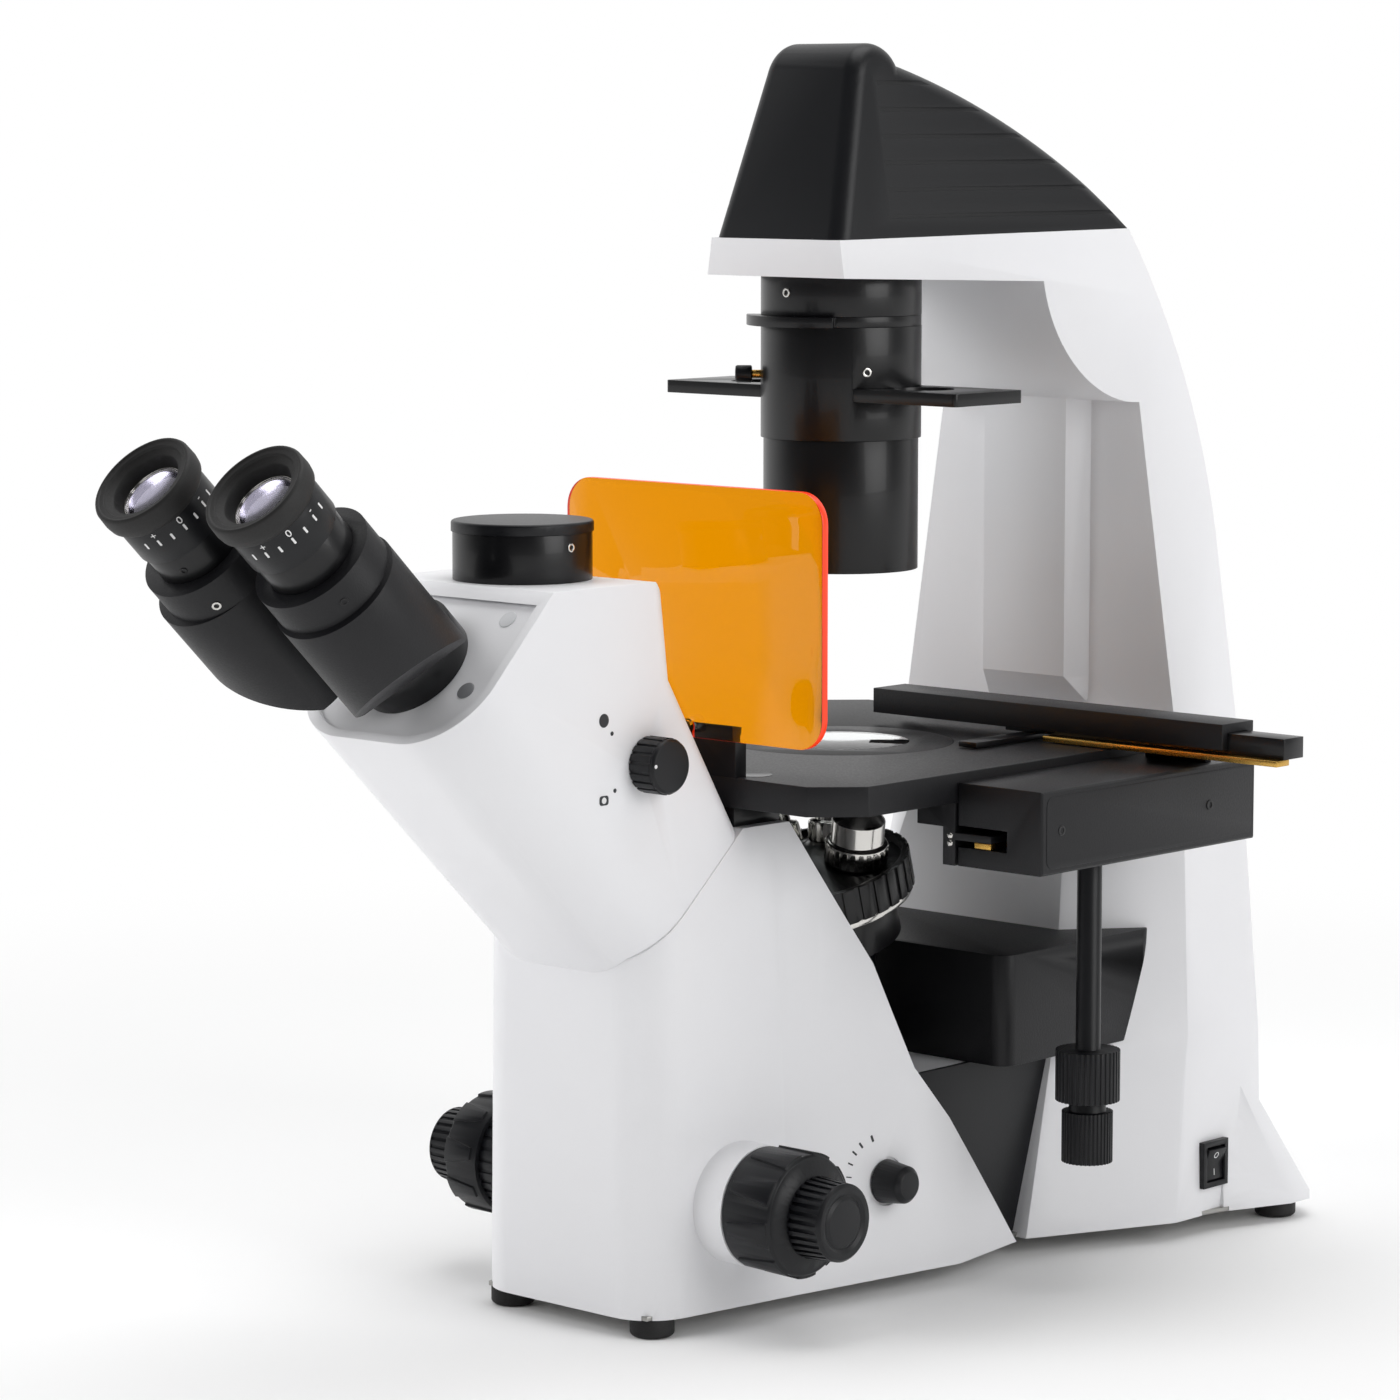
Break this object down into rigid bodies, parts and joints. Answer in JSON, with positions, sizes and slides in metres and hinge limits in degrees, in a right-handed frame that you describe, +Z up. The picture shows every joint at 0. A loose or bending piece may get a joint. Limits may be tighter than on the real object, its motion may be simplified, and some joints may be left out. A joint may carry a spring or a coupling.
{
  "type": "inverted microscope",
  "caption": "Inverted laboratory microscope: stage over a revolving nosepiece, lamp arm and condenser above, slanted binocular tube in front.",
  "frame": {"origin": "on the table under the optical axis, in the plane of symmetry", "axes": "+Z up, +Y from the user towards the rear column, +X to the user's right"},
  "size_m": [0.3085, 0.595, 0.5297],
  "materials": {
    "stand_paint": "satin",
    "black_plastic": "matt",
    "black_metal": "satin",
    "grey_plastic": "satin",
    "bright_steel": "polished",
    "steel": "brushed",
    "brass_rack": "machined",
    "orange_acrylic": "polished, clear orange",
    "glass": "polished",
    "rubber": "matt"
  },
  "bodies": {
    "stand": {"stand_casting": "stand_paint", "bottom_cover": "steel", "rubber_feet": "rubber", "side_panels": "black_plastic", "base_mirror": "glass", "power_supply": "grey_plastic", "head_casting": "stand_paint", "photo_port_tube": "black_metal", "binocular_hub": "black_metal", "lamp_cap": "black_plastic", "lamp_module": "grey_plastic", "collector_lens": "glass", "condenser_upper_tube": "black_metal", "condenser_body": "black_metal", "condenser_lower_tube": "black_metal", "condenser_lens": "glass", "stage_plate": "black_metal", "stage_insert": "black_metal", "stage_glass": "glass", "stage_support": "black_metal", "shield_bracket": "black_metal", "orange_shield": "orange_acrylic", "shield_screw": "bright_steel", "filter_housing": "black_metal", "switch_frame": "black_plastic", "y_guide_rail": "black_metal", "y_rack": "brass_rack"},
    "coarse": {"coarse_focus_shaft": "steel", "coarse_focus_knobs": "black_plastic"},
    "fine": {"fine_focus_shaft": "steel", "fine_focus_knobs": "black_plastic"},
    "tension": {"tension_ring": "black_plastic"},
    "dial": {"brightness_dial": "black_plastic"},
    "rocker": {"power_rocker": "black_plastic"},
    "selector": {"selector_knob": "black_plastic"},
    "splitter": {"beam_splitter": "glass"},
    "port_cap": {"photo_port_cap": "black_plastic"},
    "carrier": {"nosepiece_carrier": "black_metal"},
    "turret": {"nosepiece_turret": "black_metal", "nosepiece_race": "bright_steel", "objectives": "bright_steel"},
    "iris": {"iris_ring": "black_metal"},
    "slider": {"phase_slider": "black_metal"},
    "y_carriage": {"stage_drive_box": "black_metal", "x_guide_bar": "black_metal"},
    "x_carriage": {"x_slide": "black_metal", "x_rack": "brass_rack", "specimen_finger": "black_metal"},
    "y_knob": {"y_drive_knob": "black_plastic"},
    "x_knob": {"x_drive_knob": "black_plastic"},
    "tube_left": {"prism_housing_left": "black_metal", "eyepiece_sleeve_left": "black_metal"},
    "diopter_left": {"diopter_ring_left": "black_plastic", "eyecup_left": "rubber", "eye_lens_left": "glass"},
    "tube_right": {"prism_housing_right": "black_metal", "eyepiece_sleeve_right": "black_metal"},
    "diopter_right": {"diopter_ring_right": "black_plastic", "eyecup_right": "rubber", "eye_lens_right": "glass"}
  },
  "joints": [
    {"name": "nosepiece_lift", "type": "slide", "parent": "stand", "child": "carrier", "axis": [0, 0, 1], "range_m": [-0.002, 0.007]},
    {"name": "coarse_focus", "type": "hinge", "parent": "stand", "child": "coarse", "pos_m": [0, -0.126, 0.052], "axis": [1, 0, 0], "range_deg": [-19.2, 66.9]},
    {"name": "fine_focus", "type": "hinge", "parent": "stand", "child": "fine", "pos_m": [0, -0.126, 0.052], "axis": [1, 0, 0], "continuous": true},
    {"name": "tension_ring", "type": "hinge", "parent": "stand", "child": "tension", "pos_m": [-0.068, -0.126, 0.052], "axis": [1, 0, 0], "range_deg": [0, 90]},
    {"name": "brightness_dial", "type": "hinge", "parent": "stand", "child": "dial", "pos_m": [0.0658, -0.045, 0.049], "axis": [1, 0, 0], "range_deg": [0, 270]},
    {"name": "power_rocker", "type": "hinge", "parent": "stand", "child": "rocker", "pos_m": [0.0975, 0.144, 0.031], "axis": [0, 1, 0], "range_deg": [-16, 0]},
    {"name": "splitter_slide", "type": "slide", "parent": "stand", "child": "splitter", "axis": [1, 0, 0], "range_m": [0, 0.028]},
    {"name": "light_path_selector", "type": "hinge", "parent": "stand", "child": "selector", "pos_m": [0.0503, -0.175, 0.2395], "axis": [1, 0, 0], "range_deg": [0, 90]},
    {"name": "photo_port_cap", "type": "slide", "parent": "stand", "child": "port_cap", "axis": [0, 0, 1], "range_m": [0, 0.012]},
    {"name": "nosepiece_turn", "type": "hinge", "parent": "carrier", "child": "turret", "pos_m": [0, 0, 0.088], "axis": [0, -0.2588, 0.9659], "continuous": true},
    {"name": "iris_lever", "type": "hinge", "parent": "stand", "child": "iris", "pos_m": [0, 0, 0.4116], "axis": [0, 0, 1], "range_deg": [-30, 30]},
    {"name": "phase_slider", "type": "slide", "parent": "stand", "child": "slider", "axis": [1, 0, 0], "range_m": [-0.047, 0.047]},
    {"name": "stage_y", "type": "slide", "parent": "stand", "child": "y_carriage", "axis": [0, 1, 0], "range_m": [-0.06, 0.02]},
    {"name": "stage_x", "type": "slide", "parent": "y_carriage", "child": "x_carriage", "axis": [1, 0, 0], "range_m": [-0.064, 0.064]},
    {"name": "stage_y_knob", "type": "hinge", "parent": "y_carriage", "child": "y_knob", "pos_m": [0.128, 0.014, 0.15], "axis": [0, 0, 1], "range_deg": [-900, 300]},
    {"name": "stage_x_knob", "type": "hinge", "parent": "y_carriage", "child": "x_knob", "pos_m": [0.128, 0.014, 0.15], "axis": [0, 0, 1], "range_deg": [-900, 900]},
    {"name": "eyepiece_tube_right", "type": "hinge", "parent": "stand", "child": "tube_right", "pos_m": [0, -0.2574, 0.2834], "axis": [0, -0.7193, 0.6947], "range_deg": [-14, 19.8]},
    {"name": "eyepiece_tube_left", "type": "hinge", "parent": "stand", "child": "tube_left", "pos_m": [0, -0.2574, 0.2834], "axis": [0, -0.7193, 0.6947], "range_deg": [-19.8, 14]},
    {"name": "diopter_left", "type": "hinge", "parent": "tube_left", "child": "diopter_left", "pos_m": [-0.0318, -0.35568, 0.34717], "axis": [0, -0.7193, 0.6947], "range_deg": [-90, 90]},
    {"name": "diopter_right", "type": "hinge", "parent": "tube_right", "child": "diopter_right", "pos_m": [0.0318, -0.35568, 0.34717], "axis": [0, -0.7193, 0.6947], "range_deg": [-90, 90]}
  ],
  "couplings": [
    {"joint": "coarse_focus", "follows": "nosepiece_lift", "rad_per_m": 166.66},
    {"joint": "light_path_selector", "follows": "splitter_slide", "rad_per_m": 56.044},
    {"joint": "stage_y_knob", "follows": "stage_y", "rad_per_m": 232.71},
    {"joint": "stage_x_knob", "follows": "stage_x", "rad_per_m": 232.71},
    {"joint": "eyepiece_tube_left", "follows": "eyepiece_tube_right", "ratio": -1}
  ]
}
